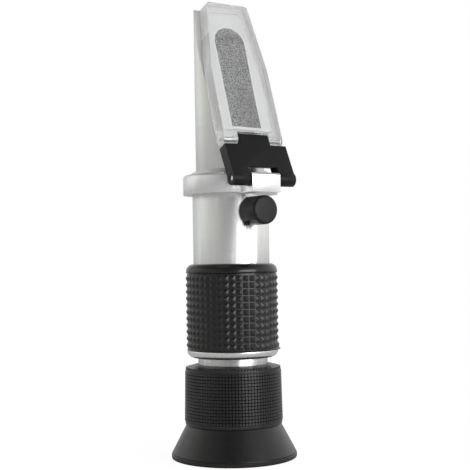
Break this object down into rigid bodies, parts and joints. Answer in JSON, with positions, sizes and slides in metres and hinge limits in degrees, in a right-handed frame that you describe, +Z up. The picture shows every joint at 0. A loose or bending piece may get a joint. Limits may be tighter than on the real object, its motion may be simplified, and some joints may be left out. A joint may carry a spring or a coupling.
{
  "type": "handheld refractometer",
  "caption": "Handheld optical refractometer: sloping prism head with a hinged clear daylight plate, capped calibration screw, studded grip, and a screwed focus eyepiece with a rubber eyecup.",
  "frame": {"origin": "centre of the eyecup's rim, on the plane that the instrument stands on", "axes": "+Z up the barrel's axis to the prism head; -Y to the front, where the hinge and the calibration screw are; +X to the right seen from the front"},
  "size_m": [0.0444, 0.0453, 0.1606],
  "materials": {
    "eyecup_rubber": "soft black rubber, matt, finely textured round the grip band",
    "grip_rubber": "black rubber with moulded pyramid studs",
    "cap_rubber": "soft black rubber, slightly shiny",
    "ring_rubber": "greased black rubber",
    "gloss_black": "smooth glossy black",
    "satin_aluminium": "satin anodised, plain",
    "polished_aluminium": "turned and polished",
    "chromed_tube": "bright plated",
    "black_metal": "matt black",
    "black_aluminium": "matt black anodised against stray light",
    "pin_steel": "turned steel",
    "brass": "turned brass",
    "bimetal": "rolled bimetal strip",
    "optical_glass": "polished, ground on the hidden sides",
    "clear_plastic": "clear moulded acrylic",
    "ground_plastic": "finely grained translucent grey",
    "seal_black": "black sealant"
  },
  "bodies": {
    "instrument": {"prism_housing": "satin_aluminium", "measuring_prism": "optical_glass", "prism_seal": "seal_black", "hinge_collar": "polished_aluminium", "hinge_pin": "pin_steel", "main_tube": "satin_aluminium", "screw_bush": "brass", "guide_ring": "black_aluminium", "aperture_stop": "black_aluminium", "light_baffle": "black_aluminium", "reticle_cell": "black_aluminium", "reticle": "optical_glass", "reticle_ring": "black_aluminium", "cell_screws": "pin_steel", "focus_housing": "polished_aluminium", "guide_pin": "pin_steel", "grip_sleeve": "grip_rubber", "grip_ring": "gloss_black"},
    "flap": {"hinge_bracket": "black_metal", "plate_pin": "pin_steel"},
    "plate": {"daylight_plate": "clear_plastic", "ground_window": "ground_plastic"},
    "screw": {"calibration_screw": "brass", "screw_clip": "pin_steel"},
    "objective": {"lens_carriage": "black_aluminium", "compensator_strip": "bimetal", "lens_cell": "brass", "objective_lens": "optical_glass", "objective_ring": "brass", "strip_screws": "pin_steel"},
    "screw_cap": {"calibration_cap": "cap_rubber"},
    "focus_slide": {"damping_ring": "ring_rubber"},
    "eyepiece": {"eyecup": "eyecup_rubber", "ocular_barrel": "black_aluminium", "eye_lens": "optical_glass", "lens_spacer": "black_aluminium", "field_lens": "optical_glass", "ocular_ring": "black_aluminium", "draw_tube": "chromed_tube"}
  },
  "joints": [
    {"name": "flap", "type": "hinge", "parent": "instrument", "child": "flap", "pos_m": [0, -0.0205, 0.0968], "axis": [1, 0, 0], "range_deg": [0, 120]},
    {"name": "plate_rock", "type": "hinge", "parent": "flap", "child": "plate", "pos_m": [0, -0.0132, 0.1106], "axis": [1, 0, 0], "range_deg": [0, 5]},
    {"name": "calibration_turn", "type": "hinge", "parent": "instrument", "child": "screw", "pos_m": [0, -0.016, 0.0864], "axis": [0, 1, 0], "range_deg": [-380, 380]},
    {"name": "objective_shift", "type": "slide", "parent": "instrument", "child": "objective", "axis": [0, 1, 0], "range_m": [-0.0005, 0.0005]},
    {"name": "cap_pull", "type": "slide", "parent": "instrument", "child": "screw_cap", "axis": [0, -1, 0], "range_m": [0, 0.012]},
    {"name": "focus_travel", "type": "slide", "parent": "instrument", "child": "focus_slide", "axis": [0, 0, 1], "range_m": [-0.0025, 0.0015]},
    {"name": "focus_turn", "type": "hinge", "parent": "focus_slide", "child": "eyepiece", "pos_m": [0, 0, 0.03], "axis": [0, 0, 1], "range_deg": [-118, 73]}
  ],
  "couplings": [
    {"joint": "calibration_turn", "follows": "objective_shift", "rad_per_m": -12566},
    {"joint": "focus_turn", "follows": "focus_travel", "rad_per_m": 785.4}
  ]
}
